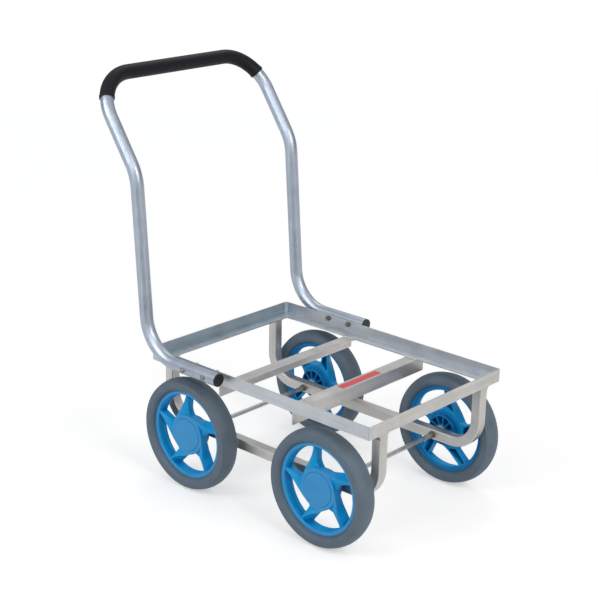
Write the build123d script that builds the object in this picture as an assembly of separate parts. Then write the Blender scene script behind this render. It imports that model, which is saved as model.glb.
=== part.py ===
from build123d import *
import os
from math import atan2, cos, degrees, hypot, sin, sqrt

# Four-wheeled harvest cart in millimetres.
# +X is forward, away from the handle, +Y is to the left, and Z is 0 on the ground.

# Overall sizes
deck_length = 616.0
deck_width = 432.0
wheel_base = 377.0
wheel_setback = 3.8  # middle of the wheel base, behind the deck's middle
tyre_diameter = 250.0
tyre_width = 45.5
tyre_gap = 17.5  # between the top of a tyre and the deck's underside
handle_rise = 571.0  # axis of the grip bar, above the rails
handle_reach = 143.0  # axis of the grip bar, behind the deck

# Deck angle: a wall outside and a flange inside at the bottom
rail_wall = 27.5
rail_flange = 29.0
rail_thickness = 3.0
rail_rear_radius = 10.0
rail_front_radius = 4.0
rail_flange_corner = 5.0  # inner corners of the flange at the rear
rail_return = 13.5  # the side rails' walls turn in this far at the front corners

# Cross bars: angles under the deck, with the upright leg on the side of the nearer wheels
bar_width = 30.0
bar_drop = 30.0
bar_thickness = 3.0
front_bar_inset = 77.7  # upright face, behind the front axle
rear_bar_inset = 89.3  # upright face, ahead of the rear axle
bar_end_inset = 4.0

# Side frames: one bent square tube on each side
leg_tube = 23.0
leg_wall = 2.0
leg_edge_radius = 3.0
leg_bore_edge_radius = 1.0
leg_bend_radius = 62.0
front_leg_inset = 3.0  # from the deck's front end
rear_leg_inset = 1.5  # from the deck's rear end
leg_side_inset = 51.0  # from the deck's side to the tube's middle

# Axles and what is on them
axle_diameter = 10.0
axle_hole_clearance = 0.25
axle_end_past_nut = 1.2
axle_end_chamfer = 0.6
collar_diameter = 16.0
collar_length = 6.0
axle_spacer_diameter = 18.0
axle_spacer_length = 3.0
wheel_standout = 32.25  # from a side frame's outer face to the tyre's middle plane
end_play = 0.4
wheel_washer_diameter = 22.0
wheel_washer_thickness = 2.0
wheel_nut_flats = 17.0
wheel_nut_height = 8.0
slip_clearance = 0.1  # rings and nuts on the axle

# Tyre and rim
rim_edge_diameter = 196.0
rim_width = 26.0
rim_lip = 4.0
rim_seat_depth = 4.0
rim_barrel_wall = 4.0
rim_edge_chamfer = 1.5
tread_width = 26.0
tread_crown = 1.2
tyre_wall_bulge = 2.7  # of each half of a side wall, from a straight line

# Wheel body: straight spokes that pass the hub on one side and narrow towards the rim
spoke_count = 5
spoke_edge_offset = 37.0  # from the axle to the line of a spoke's outer edge
spoke_root_width = 24.5
spoke_tip_width = 17.0
spoke_phase = 11.0  # degrees
spoke_front = 7.0  # in front of the tyre's middle plane
spoke_depth = 15.0
spoke_skin = 4.0
spoke_rib = 3.0
window_hub_radius = 8.0
window_rim_band = 3.0  # left between a window and the rim
window_rim_radius = 4.0
hub_drum_diameter = 88.0
hub_drum_wall = 4.0
hub_drum_front = 9.0
hub_tube_diameter = 28.0
hub_web_front = -6.0
hub_web_thickness = 4.0
hub_back_diameter = 68.0  # ring behind the web
hub_back_wall = 3.0
hub_back_setback = 4.0  # the ring ends this far ahead of the hub tube
hub_rib_count = 10
hub_rib_thickness = 3.0
edge_round = 1.2
wheel_turn = {"front_right": 0.0, "rear_right": -7.0, "front_left": -12.0, "rear_left": 3.0}  # degrees

# Bushes
bush_diameter = 16.0
bush_length = 8.0
bush_flange_diameter = 24.0
bush_flange_thickness = 2.0
bush_running_clearance = 0.05

# Hub caps
cap_edge_inset = 3.0  # from the drum's outside to the cap's edge
cap_slope_width = 6.0  # from the cap's edge to its flat face
cap_edge_height = 1.0
cap_height = 5.0
cap_skirt_depth = 6.0
cap_skirt_wall = 2.4
cap_skirt_clearance = 0.3
cap_top_thickness = 2.5

# Handle
handle_tube_diameter = 28.6
handle_wall = 1.8
handle_standoff = 6.5  # between the rail and the tube
handle_run_length = 210.6  # from the lower corner to the tube's end
handle_foot_inset = 17.0  # lower corner, ahead of the deck's rear end
handle_foot_radius = 92.0
handle_kink_rise = 383.0  # above the rails
handle_kink_reach = 13.6  # behind the deck's rear end
handle_kink_radius = 100.0
handle_top_radius = 94.0
grip_wall = 1.6
grip_clearance = 0.2
grip_bend = 63.0  # degrees of each top bend that the grip covers
grip_mouth_length = 6.0
grip_mouth_lip = 0.7
plug_flange_thickness = 3.0
plug_edge_round = 1.8
plug_stem_length = 16.0
plug_clearance = 0.2

# Handle fasteners
bolt_below_top = 6.9  # below the rail's top edge
bolt_rear_inset = 136.0  # rear bolt, ahead of the deck's rear end
bolt_spacing = 60.0
bolt_diameter = 6.0
bolt_hole_clearance = 0.25
bolt_head_diameter = 11.0
bolt_head_height = 3.6
bolt_head_round = 2.1
bolt_past_nut = 2.0
handle_spacer_diameter = 13.0
washer_diameter = 13.0
washer_thickness = 1.2
nut_flats = 10.0
nut_height = 5.0
nut_corner_cut = 0.3  # turned off the corners of every nut

# Places worked out from the sizes above
deck_front = deck_length / 2
deck_side = deck_width / 2
rail_bottom = tyre_diameter + tyre_gap
deck_height = rail_bottom + rail_wall
tyre_radius = tyre_diameter / 2
axle_x = {"front": wheel_base / 2 - wheel_setback, "rear": -wheel_base / 2 - wheel_setback}
axle_z = tyre_radius
front_bar_x = axle_x["front"] - front_bar_inset
rear_bar_x = axle_x["rear"] + rear_bar_inset
leg_y = deck_side - leg_side_inset
leg_front_x = deck_front - front_leg_inset - leg_tube / 2
leg_rear_x = rear_leg_inset + leg_tube / 2 - deck_front
leg_outer_y = leg_y + leg_tube / 2
leg_inner_y = leg_y - leg_tube / 2
wheel_y = leg_outer_y + wheel_standout
axle_radius = axle_diameter / 2
rim_edge_radius = rim_edge_diameter / 2
rim_seat_radius = rim_edge_radius - rim_seat_depth
rim_inner_radius = rim_seat_radius - rim_barrel_wall
window_radius = rim_inner_radius - window_rim_band
hub_drum_radius = hub_drum_diameter / 2
spoke_back = spoke_front - spoke_depth
bush_front_face = hub_web_front + bush_flange_thickness
bush_back_face = axle_spacer_length + end_play - wheel_standout
hub_tube_back = bush_back_face + bush_flange_thickness
handle_radius = handle_tube_diameter / 2
handle_y = deck_side + handle_standoff + handle_radius
handle_run_z = deck_height - bolt_below_top
handle_height = deck_height + handle_rise
handle_kink_height = deck_height + handle_kink_rise
handle_foot_x = handle_foot_inset - deck_front
grip_radius = handle_radius + grip_clearance + grip_wall
bolt_x = [bolt_rear_inset - deck_front, bolt_rear_inset - deck_front + bolt_spacing]

# The whole cart is slid along X so that the middle of its box stands over the origin
rear_reach = deck_front + handle_reach + grip_radius
front_reach = max(deck_front, axle_x["front"] + tyre_radius)
deck_shift = (rear_reach - front_reach) / 2

FAR = 2000.0  # larger than the cart
OVER = 1.0  # how far a cutting shape runs past what it cuts
NEAR = 0.01  # how closely an edge or corner is picked by its place
SIDES = {"right": -1, "left": 1}
ENDS = ("front", "rear")

os.makedirs("parts", exist_ok=True)


def keep(node, *solids):
    """Writes one named piece, or a group of equal fasteners, at its place on the cart."""
    placed = [Pos(deck_shift, 0, 0) * solid for solid in solids]
    shape = placed[0] if len(placed) == 1 else Compound(children=placed)
    export_step(shape, f"parts/{node}.step")


def block(low, high):
    """A box between two corners."""
    size = [high[i] - low[i] for i in range(3)]
    middle = [(high[i] + low[i]) / 2 for i in range(3)]
    return Pos(*middle) * Box(*size)


def rod_y(radius, x, z, start, end):
    """A cylinder along Y between two Y positions."""
    middle = (start + end) / 2
    return Pos(x, middle, z) * Rot(90, 0, 0) * Cylinder(radius, abs(end - start))


def ring_y(outer, inner, x, z, start, end):
    """A plain ring along Y."""
    return rod_y(outer, x, z, start, end) - rod_y(inner, x, z, min(start, end) - OVER, max(start, end) + OVER)


def nut_y(flats, bore, x, z, start, end):
    """A hexagon nut along Y, with its corners rounded off."""
    corner = flats / sqrt(3)
    hexagon = extrude(RegularPolygon(corner, 6), abs(end - start) / 2, both=True)
    hexagon &= Cylinder(corner - nut_corner_cut, abs(end - start))
    hexagon -= Cylinder(bore, abs(end - start) + 2 * OVER)
    return Pos(x, (start + end) / 2, z) * Rot(90, 0, 0) * hexagon


# Deck rails


def deck_plan(inset):
    """The deck's outline seen from above, set in from the outside."""
    plan = Rectangle(deck_length - 2 * inset, deck_width - 2 * inset)
    corners = plan.vertices()
    rear_radius = rail_rear_radius - inset
    front_radius = rail_front_radius - inset
    if rear_radius > 0:
        plan = fillet(corners.filter_by(lambda v: v.X < 0), rear_radius)
    if front_radius > 0:
        plan = fillet(plan.vertices().filter_by(lambda v: v.X > deck_front - inset - NEAR), front_radius)
    return plan


def deck_ring():
    """The whole angle round the deck, before it is parted into its two rails."""
    opening = Rectangle(deck_length - 2 * rail_flange, deck_width - 2 * rail_flange)
    opening = fillet(opening.vertices().filter_by(lambda v: v.X < 0), rail_flange_corner)
    wall = extrude(deck_plan(0) - deck_plan(rail_thickness), rail_wall)
    flange = extrude(deck_plan(0) - opening, rail_thickness)
    return Pos(0, 0, rail_bottom) * (wall + flange)


def front_rail_space():
    """The part of the ring that is the front rail: its wall, and its flange between the side flanges."""
    wall_y = deck_side - rail_return
    flange_y = deck_side - rail_flange
    wall = block((deck_front - rail_thickness, -wall_y, 0), (FAR, wall_y, FAR))
    flange = block((deck_front - rail_flange - OVER, -flange_y, 0), (FAR, flange_y, FAR))
    return wall + flange


def bolt_holes(side):
    """Clearance holes for the handle bolts of one side."""
    radius = bolt_diameter / 2 + bolt_hole_clearance
    return [rod_y(radius, x, handle_run_z, side * (deck_side - rail_flange), side * FAR) for x in bolt_x]


ring = deck_ring()
front_space = front_rail_space()
rail_loop = ring - front_space
for side in SIDES.values():
    for hole in bolt_holes(side):
        rail_loop -= hole
keep("rail_loop", rail_loop)
keep("front_rail", ring & front_space)


# Cross bars


def cross_bar():
    """One angle across the deck, under the side flanges, with its upright face at X = 0, towards +X."""
    half = deck_side - bar_end_inset
    top = block((-bar_width, -half, rail_bottom - bar_thickness), (0, half, rail_bottom))
    leg = block((-bar_thickness, -half, rail_bottom - bar_drop), (0, half, rail_bottom))
    return top + leg


keep("cross_bar_front", Pos(front_bar_x, 0, 0) * cross_bar())
keep("cross_bar_rear", Pos(rear_bar_x, 0, 0) * Rot(0, 0, 180) * cross_bar())


# Side frames


def side_frame(side):
    """A square tube bent into a U, with its two ends against the deck's underside."""
    y = side * leg_y
    points = [
        (leg_front_x, y, rail_bottom),
        (leg_front_x, y, axle_z),
        (leg_rear_x, y, axle_z),
        (leg_rear_x, y, rail_bottom),
    ]
    path = FilletPolyline(*points, radius=leg_bend_radius)
    outer = RectangleRounded(leg_tube, leg_tube, leg_edge_radius)
    inner = RectangleRounded(leg_tube - 2 * leg_wall, leg_tube - 2 * leg_wall, leg_bore_edge_radius)
    start = Plane(origin=points[0], x_dir=(1, 0, 0), z_dir=(0, 0, -1))
    tube = sweep(start * (outer - inner), path=path)
    hole_radius = axle_radius + axle_hole_clearance
    for x in axle_x.values():
        tube -= rod_y(hole_radius, x, axle_z, y - leg_tube, y + leg_tube)
    return tube


for side_name, side in SIDES.items():
    keep(f"side_frame_{side_name}", side_frame(side))


# Axles, with the rings and nuts on them

spacer_end = leg_outer_y + axle_spacer_length
washer_start = wheel_y + bush_front_face + end_play
nut_start = washer_start + wheel_washer_thickness
nut_end = nut_start + wheel_nut_height
axle_end = nut_end + axle_end_past_nut
slip_radius = axle_radius + slip_clearance


def axle(x):
    """A plain rod with chamfered ends."""
    rod = Cylinder(axle_radius, 2 * axle_end)
    rod = chamfer(rod.edges().filter_by(GeomType.CIRCLE), axle_end_chamfer)
    return Pos(x, 0, axle_z) * Rot(90, 0, 0) * rod


for end, x in axle_x.items():
    keep(f"axle_{end}", axle(x))
    collars = []
    spacers = []
    washers = []
    nuts = []
    for side in SIDES.values():
        collar_start = side * (leg_inner_y - collar_length)
        collar = ring_y(collar_diameter / 2, slip_radius, x, axle_z, collar_start, side * leg_inner_y)
        spacer_radius = axle_spacer_diameter / 2
        spacer = ring_y(spacer_radius, slip_radius, x, axle_z, side * leg_outer_y, side * spacer_end)
        washer_radius = wheel_washer_diameter / 2
        washer = ring_y(washer_radius, slip_radius, x, axle_z, side * washer_start, side * nut_start)
        nut = nut_y(wheel_nut_flats, slip_radius, x, axle_z, side * nut_start, side * nut_end)
        collars.append(collar)
        spacers.append(spacer)
        washers.append(washer)
        nuts.append(nut)
    keep(f"axle_collars_{end}", *collars)
    keep(f"axle_spacers_{end}", *spacers)
    keep(f"wheel_washers_{end}", *washers)
    keep(f"wheel_nuts_{end}", *nuts)


# Wheels: modelled about their own Z axis, which points out of the cart, with Z = 0 in the tyre's middle plane


def turned(points, close=True):
    """A solid of revolution from points of radius and height."""
    outline = Polyline(*[(radius, 0, height) for radius, height in points], close=close)
    return revolve(make_face(outline), Axis.Z)


def rim():
    """A barrel with a lip on each edge and a seat for the tyre between them."""
    half = rim_width / 2
    inner = rim_inner_radius
    edge = rim_edge_radius
    points = [
        (inner, -half + rim_edge_chamfer),
        (inner + rim_edge_chamfer, -half),
        (edge, -half),
        (edge, -half + rim_lip),
        (rim_seat_radius, -half + rim_lip),
        (rim_seat_radius, half - rim_lip),
        (edge, half - rim_lip),
        (edge, half),
        (inner + rim_edge_chamfer, half),
        (inner, half - rim_edge_chamfer),
    ]
    return turned(points)


def window():
    """The opening between one spoke and the next, seen along the axle."""
    pitch = 360 / spoke_count
    taper = degrees(atan2(spoke_root_width - spoke_tip_width, window_radius - hub_drum_radius))
    root = Pos(hub_drum_radius, spoke_edge_offset - spoke_root_width)
    beyond_first = Rot(0, 0, spoke_phase) * Pos(0, spoke_edge_offset + FAR / 2) * Rectangle(FAR, FAR)
    below = root * Rot(0, 0, taper) * Pos(0, -FAR / 2) * Rectangle(FAR, FAR)
    before_next = Rot(0, 0, spoke_phase + pitch) * below
    opening = (Circle(window_radius) - Circle(hub_drum_radius)) & beyond_first & before_next
    middle_radius = (window_radius + hub_drum_radius) / 2
    at_hub = opening.vertices().filter_by(lambda v: hypot(v.X, v.Y) < middle_radius)
    opening = fillet(at_hub, window_hub_radius)
    at_rim = opening.vertices().filter_by(lambda v: hypot(v.X, v.Y) > window_radius - NEAR)
    return fillet(at_rim, window_rim_radius)


def turned_copies(shape):
    """The shape at every spoke."""
    return [Rot(0, 0, 360 * i / spoke_count) * shape for i in range(spoke_count)]


def spider():
    """The spokes: a skin in front, and ribs along the windows behind it."""
    opening = window()
    overlap = rim_barrel_wall / 2
    plate = Pos(0, 0, spoke_back) * extrude(Circle(rim_inner_radius + overlap), spoke_depth)
    for cut in turned_copies(opening):
        plate -= Pos(0, 0, spoke_back - OVER) * extrude(cut, spoke_depth + 2 * OVER)
    front = plate.edges().filter_by(lambda e: e.center().Z > spoke_front - NEAR)
    inside = front.filter_by(lambda e: hypot(e.center().X, e.center().Y) < rim_inner_radius + overlap / 2)
    plate = fillet(inside.filter_by(lambda e: e.length < 2 * rim_inner_radius), edge_round)
    hollow = Circle(rim_inner_radius - spoke_rib) - Circle(hub_drum_radius + spoke_rib)
    for cut in turned_copies(offset(opening, spoke_rib, kind=Kind.ARC)):
        hollow -= cut
    return plate - Pos(0, 0, spoke_back) * extrude(hollow, spoke_depth - spoke_skin)


def hub():
    """A drum that is open in front, a web at its bottom, and behind it a tube, a ring and ribs."""
    pocket_radius = hub_drum_radius - hub_drum_wall
    web_back = hub_web_front - hub_web_thickness
    tube_radius = hub_tube_diameter / 2
    drum = Pos(0, 0, web_back) * extrude(Circle(hub_drum_radius), hub_drum_front - web_back)
    top = drum.edges().filter_by(lambda e: e.center().Z > hub_drum_front - NEAR)
    drum = fillet(top, edge_round)
    drum -= Pos(0, 0, hub_web_front) * extrude(Circle(pocket_radius), FAR)
    ring_back = hub_tube_back + hub_back_setback
    ring_depth = web_back - ring_back
    ring_radius = hub_back_diameter / 2
    tube = Pos(0, 0, hub_tube_back) * extrude(Circle(tube_radius), web_back - hub_tube_back)
    outline = Circle(ring_radius) - Circle(ring_radius - hub_back_wall)
    ring = Pos(0, 0, ring_back) * extrude(outline, ring_depth)
    rib_start = tube_radius - hub_back_wall / 2
    rib_end = ring_radius - hub_back_wall / 2
    half = hub_rib_thickness / 2
    rib = block((rib_start, -half, ring_back), (rib_end, half, web_back))
    solid = drum + tube + ring
    for i in range(hub_rib_count):
        solid += Rot(0, 0, 360 * i / hub_rib_count) * rib
    return solid


def wheel_body():
    """Rim, spokes and hub in one moulding."""
    pocket_radius = hub_drum_radius - hub_drum_wall
    body = rim() + spider()
    body -= Pos(0, 0, spoke_back - OVER) * extrude(Circle(pocket_radius), FAR)
    body += hub()
    return body - Cylinder(bush_diameter / 2, FAR)


def tyre():
    """A rounded tread and bulged walls, seated between the rim's lips."""
    half = tyre_width / 2
    seat_half = rim_width / 2 - rim_lip
    edge_half = rim_width / 2
    wall_middle = (rim_edge_radius + tyre_radius) / 2
    tread_half = tread_width / 2
    shoulder_radius = tyre_radius - tread_crown
    bead = (rim_edge_radius, edge_half)
    belly = (wall_middle, half)
    shoulder = (shoulder_radius, tread_half)

    def bulged(start, end):
        run, rise = end[0] - start[0], end[1] - start[1]
        push = tyre_wall_bulge / hypot(run, rise)
        return ((start[0] + end[0]) / 2 - push * rise, (start[1] + end[1]) / 2 + push * run)

    low = bulged(bead, belly)
    high = bulged(belly, shoulder)

    def at(point, sign=1):
        return (point[0], 0, sign * point[1])

    lines = [
        Line(at((rim_seat_radius, seat_half), -1), at((rim_seat_radius, seat_half))),
        Line(at((rim_seat_radius, seat_half)), at((rim_edge_radius, seat_half))),
        Line(at((rim_edge_radius, seat_half)), at(bead)),
        ThreePointArc(at(bead), at(low), at(belly)),
        ThreePointArc(at(belly), at(high), at(shoulder)),
        ThreePointArc(at(shoulder), (tyre_radius, 0, 0), at(shoulder, -1)),
        ThreePointArc(at(shoulder, -1), at(high, -1), at(belly, -1)),
        ThreePointArc(at(belly, -1), at(low, -1), at(bead, -1)),
        Line(at(bead, -1), at((rim_edge_radius, seat_half), -1)),
        Line(at((rim_edge_radius, seat_half), -1), at((rim_seat_radius, seat_half), -1)),
    ]
    return revolve(make_face(Wire(lines)), Axis.Z)


def bush(face, inward):
    """A flanged bush: its flange lies on the hub tube's end, its body is in the tube."""
    flange_end = face - inward * bush_flange_thickness
    body_end = face + inward * bush_length
    flange = Pos(0, 0, (face + flange_end) / 2) * Cylinder(bush_flange_diameter / 2, bush_flange_thickness)
    body = Pos(0, 0, (face + body_end) / 2) * Cylinder(bush_diameter / 2, bush_length)
    return flange + body - Cylinder(axle_radius + bush_running_clearance, FAR)


def hub_cap():
    """A dished cap with a skirt that snaps into the drum."""
    base = hub_drum_radius - cap_edge_inset
    face = base - cap_slope_width
    skirt = hub_drum_radius - hub_drum_wall - cap_skirt_clearance
    inside = skirt - cap_skirt_wall
    bottom = hub_drum_front
    top = bottom + cap_height
    under = top - cap_top_thickness
    points = [
        (0, top),
        (face, top),
        (base, bottom + cap_edge_height),
        (base, bottom),
        (skirt, bottom),
        (skirt, bottom - cap_skirt_depth),
        (inside, bottom - cap_skirt_depth),
        (inside, bottom),
        (face - 2 * cap_top_thickness, under),
        (0, under),
    ]
    return turned(points)


wheel_solid = wheel_body()
tyre_solid = tyre()
cap_solid = hub_cap()
bush_solids = [bush(hub_web_front, -1), bush(hub_tube_back, 1)]


def on_cart(shape, end, side_name):
    """Puts a wheel piece on its axle, with its own Z axis pointing out of the cart."""
    facing = Rot(90, 0, 0) if side_name == "right" else Rot(0, 0, 180) * Rot(90, 0, 0)
    turn = Rot(0, 0, wheel_turn[f"{end}_{side_name}"])
    return Pos(axle_x[end], SIDES[side_name] * wheel_y, axle_z) * facing * turn * shape


for end in ENDS:
    for side_name in SIDES:
        corner = f"{end}_{side_name}"
        keep(f"wheel_{corner}", on_cart(wheel_solid, end, side_name))
        keep(f"tyre_{corner}", on_cart(tyre_solid, end, side_name))
        keep(f"hub_cap_{corner}", on_cart(cap_solid, end, side_name))
        keep(f"wheel_bushes_{corner}", *[on_cart(solid, end, side_name) for solid in bush_solids])


# Handle


def handle_points(side):
    """The corners of one arm's middle line, from the grip bar down to the front end."""
    y = side * handle_y
    return [
        (-deck_front - handle_reach, y, handle_height),
        (-deck_front - handle_kink_reach, y, handle_kink_height),
        (handle_foot_x, y, handle_run_z),
        (handle_foot_x + handle_run_length, y, handle_run_z),
    ]


def tube_along(path, start, direction, outer, inner):
    """A round tube swept along a path."""
    section = Plane(origin=start, z_dir=direction) * (Circle(outer) - Circle(inner))
    return sweep(section, path=path)


def handle_tube():
    """One tube: along the right rail, up, over the grip bar and down to the left rail."""
    right = list(reversed(handle_points(SIDES["right"])))
    points = right + handle_points(SIDES["left"])
    bends = [handle_foot_radius, handle_kink_radius, handle_top_radius]
    path = FilletPolyline(*points, radius=bends + list(reversed(bends)))
    tube = tube_along(path, points[0], (-1, 0, 0), handle_radius, handle_radius - handle_wall)
    for side in SIDES.values():
        for hole in bolt_holes(side):
            tube -= hole
    return tube


arm_run = handle_reach - handle_kink_reach
arm_rise = handle_height - handle_kink_height
arm_angle = atan2(arm_run, arm_rise)
arm_down = Vector(sin(arm_angle), 0, -cos(arm_angle))


def grip():
    """A sleeve over the grip bar and most of both top bends, with a lip at each mouth."""
    across = Vector(0, 1, 0)
    bar_middle = (-deck_front - handle_reach, 0, handle_height)
    bar_plane = Plane(origin=bar_middle, x_dir=across, z_dir=across.cross(arm_down))
    bend = handle_top_radius
    straight = handle_y - bend
    right_mouth = -90 - grip_bend
    left_mouth = -90 + grip_bend
    lip_bend = degrees(grip_mouth_length / bend)
    bore = handle_radius + grip_clearance

    def sleeve(edges, outer):
        path = Wire([bar_plane * edge for edge in edges])
        return tube_along(path, path @ 0, path % 0, outer, bore)

    right_bend = CenterArc((-straight, bend), bend, right_mouth, grip_bend)
    left_bend = CenterArc((straight, bend), bend, -90, grip_bend)
    solid = sleeve([right_bend, Line((-straight, 0), (straight, 0)), left_bend], grip_radius)
    lip_radius = grip_radius + grip_mouth_lip
    solid += sleeve([CenterArc((-straight, bend), bend, right_mouth, lip_bend)], lip_radius)
    solid += sleeve([CenterArc((straight, bend), bend, left_mouth - lip_bend, lip_bend)], lip_radius)
    return solid


def end_plug(side):
    """A plug in the tube's front end, with a domed flange."""
    end_x = handle_foot_x + handle_run_length
    stem_radius = handle_radius - handle_wall - plug_clearance
    stem = Pos(0, 0, -plug_stem_length / 2) * Cylinder(stem_radius, plug_stem_length)
    flange = Pos(0, 0, plug_flange_thickness / 2) * Cylinder(handle_radius, plug_flange_thickness)
    outer_edge = flange.edges().filter_by(lambda e: e.center().Z > plug_flange_thickness - NEAR)
    flange = fillet(outer_edge, plug_edge_round)
    return Pos(end_x, side * handle_y, handle_run_z) * Rot(0, 90, 0) * (stem + flange)


keep("handle_tube", handle_tube())
keep("handle_grip", grip())
for side_name, side in SIDES.items():
    keep(f"handle_plug_{side_name}", end_plug(side))


# Handle bolts, spacers, washers and nuts

handle_inner_y = deck_side + handle_standoff
bolt_head_y = handle_inner_y + handle_tube_diameter
washer_outer_y = deck_side - rail_thickness
washer_inner_y = washer_outer_y - washer_thickness
nut_inner_y = washer_inner_y - nut_height


def bolt(x, side):
    """A round-headed bolt through the tube and the rail's wall."""
    radius = bolt_diameter / 2
    shank = rod_y(radius, x, handle_run_z, side * bolt_head_y, side * (nut_inner_y - bolt_past_nut))
    head_radius = bolt_head_diameter / 2
    head_end = bolt_head_y + bolt_head_height
    head = rod_y(head_radius, x, handle_run_z, side * bolt_head_y, side * head_end)
    crown = head.edges().filter_by(lambda e: abs(e.center().Y) > head_end - NEAR)
    return shank + fillet(crown.filter_by(GeomType.CIRCLE), bolt_head_round)


for side_name, side in SIDES.items():
    bore = bolt_diameter / 2 + slip_clearance
    spacer_ends = (side * deck_side, side * handle_inner_y)
    washer_ends = (side * washer_inner_y, side * washer_outer_y)
    nut_ends = (side * nut_inner_y, side * washer_inner_y)
    spacer_radius = handle_spacer_diameter / 2
    washer_radius = washer_diameter / 2
    z = handle_run_z
    keep(f"handle_bolts_{side_name}", *[bolt(x, side) for x in bolt_x])
    keep(f"handle_spacers_{side_name}", *[ring_y(spacer_radius, bore, x, z, *spacer_ends) for x in bolt_x])
    keep(f"handle_washers_{side_name}", *[ring_y(washer_radius, bore, x, z, *washer_ends) for x in bolt_x])
    keep(f"handle_nuts_{side_name}", *[nut_y(nut_flats, bore, x, z, *nut_ends) for x in bolt_x])
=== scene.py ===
# %% [markdown]
# # A harvest cart, finished in Blender
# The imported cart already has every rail, tube, wheel and bolt at its real size and in its place.
# Its metal pieces stay as they are and only get a finish. The moulded wheels, the tyres, the hub
# discs, the grip and the welds have soft forms, so they are modelled here, one after the other.

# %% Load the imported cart
import math
import bpy
from mathutils import Matrix, Quaternion, Vector


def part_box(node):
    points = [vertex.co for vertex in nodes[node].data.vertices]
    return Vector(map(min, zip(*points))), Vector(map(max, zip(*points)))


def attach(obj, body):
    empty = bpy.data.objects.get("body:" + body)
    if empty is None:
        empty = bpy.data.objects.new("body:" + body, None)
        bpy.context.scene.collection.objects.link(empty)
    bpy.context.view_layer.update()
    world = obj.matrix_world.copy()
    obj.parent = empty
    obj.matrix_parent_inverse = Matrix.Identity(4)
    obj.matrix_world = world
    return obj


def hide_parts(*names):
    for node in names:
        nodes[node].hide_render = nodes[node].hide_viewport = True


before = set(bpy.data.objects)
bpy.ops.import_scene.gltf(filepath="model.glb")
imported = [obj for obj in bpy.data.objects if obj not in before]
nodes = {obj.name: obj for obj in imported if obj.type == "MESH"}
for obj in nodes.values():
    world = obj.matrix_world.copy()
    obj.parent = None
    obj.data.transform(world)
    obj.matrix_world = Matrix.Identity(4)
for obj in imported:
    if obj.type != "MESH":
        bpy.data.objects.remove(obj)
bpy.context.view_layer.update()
bpy.ops.object.select_all(action="DESELECT")
MM = 0.001
print("packed pieces:", len(nodes))

# %% [markdown]
# ## Camera
# The cart is seen from its front right, a little from above, with a long lens, as in a catalogue.
# A camera can be turned by Euler angles or aimed along a line. Here it is aimed along a line given by
# azimuth and elevation, because those are easy to read, and then rolled by about one degree.

# %% Aim the camera
azimuth = math.radians(41.99)
elevation = math.radians(18.87)
roll = math.radians(1.11)
camera_place = (1.9882, -2.20327, 1.42282)
sensor_width = 36.0
lens = 87.91
flat = math.cos(elevation)
back = Vector((flat * math.sin(azimuth), -flat * math.cos(azimuth), math.sin(elevation)))
bpy.ops.object.camera_add(location=camera_place)
camera = bpy.context.object
camera.rotation_mode = "QUATERNION"
camera.rotation_quaternion = (-back).to_track_quat("-Z", "Y") @ Quaternion((0, 0, 1), roll)
camera.data.sensor_width = sensor_width
camera.data.lens = lens
bpy.context.scene.camera = camera
bpy.context.scene.view_settings.view_transform = "Standard"
print("camera at", [round(x, 3) for x in camera.location])

# %% [markdown]
# ## Helpers for node trees
# Every finish below is a small tree of nodes. Adding a node, setting it up and linking it takes
# several lines each time, so one helper does all three: an input is given a plain value, or the
# output of another node, and then it becomes a link. The others do sums, spread ranges, turn greys into
# colours, and tell light that reaches the camera from light that is mirrored on its way.

# %% Node helpers
def add_node(tree, kind, inputs=None, **settings):
    """Adds a node, and fills its inputs with values or with links from other nodes' outputs."""
    node = tree.nodes.new(kind)
    for setting, value in settings.items():
        setattr(node, setting, value)
    for socket, value in (inputs or {}).items():
        if isinstance(value, bpy.types.NodeSocket):
            tree.links.new(value, node.inputs[socket])
        else:
            node.inputs[socket].default_value = value
    return node


def calculate(tree, operation, first, second):
    """A Math node's result."""
    return add_node(tree, "ShaderNodeMath", {0: first, 1: second}, operation=operation).outputs[0]


def to_range(tree, value, low, high, start=0.25, end=0.75):
    """Spreads a part of a grey value over a new range."""
    inputs = {"Value": value, "From Min": start, "From Max": end, "To Min": low, "To Max": high}
    return add_node(tree, "ShaderNodeMapRange", inputs).outputs["Result"]


def to_colour(tree, value, dark, light, start=0.3, end=0.7):
    """Turns a grey value into a colour between two."""
    ramp = add_node(tree, "ShaderNodeValToRGB", {"Fac": value})
    ramp.color_ramp.elements[0].position = start
    ramp.color_ramp.elements[0].color = (*dark, 1)
    ramp.color_ramp.elements[1].position = end
    ramp.color_ramp.elements[1].color = (*light, 1)
    return ramp.outputs["Color"]


def light_paths(tree):
    """Whether the camera sees a place, and whether a shiny or clear surface does."""
    rays = add_node(tree, "ShaderNodeLightPath").outputs
    shiny = calculate(tree, "MAXIMUM", rays["Is Glossy Ray"], rays["Is Transmission Ray"])
    return rays["Is Camera Ray"], shiny


print("node helpers ready")

# %% [markdown]
# ## Floor and background
# A studio picture has a pale floor that runs into the background. The floor could be lit until it
# is white, but then the cart would be too bright. So the floor keeps its shadow in plain paint, and
# a little glow that only the camera and shiny surfaces see lifts it towards white. Photographers lay
# a dark cloth where only bright metal mirrors it, so that upright tubes aren't lost against white. Here
# such a patch, between the cart and the camera, is seen in mirrored light alone.

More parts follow.
